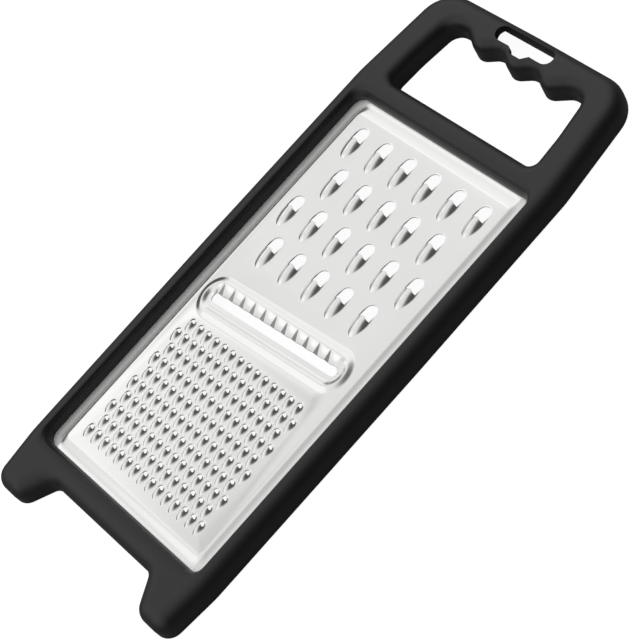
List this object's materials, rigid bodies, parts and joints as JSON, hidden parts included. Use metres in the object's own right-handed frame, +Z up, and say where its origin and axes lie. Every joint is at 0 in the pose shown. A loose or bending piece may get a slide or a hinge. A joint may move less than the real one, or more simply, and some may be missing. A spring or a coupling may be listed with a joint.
{
  "type": "flat hand grater",
  "caption": "Flat hand grater: a stamped steel plate with coarse hoods, a slanted rippled slicer and fine teeth, in a black frame with a finger-grip handle, hanging slot and two feet.",
  "frame": {"origin": "middle of the footprint, on the flat underside of the frame", "axes": "+Y runs along the grater towards the handle, +X across it to the right, +Z up out of the grating side"},
  "size_m": [0.1282, 0.3, 0.012],
  "materials": {
    "frame_plastic": "satin",
    "rear_plastic": "satin",
    "plate_steel": "satin"
  },
  "bodies": {
    "root": {"front_frame": "frame_plastic", "rear_frame": "rear_plastic", "grater_plate": "plate_steel"}
  },
  "joints": []
}
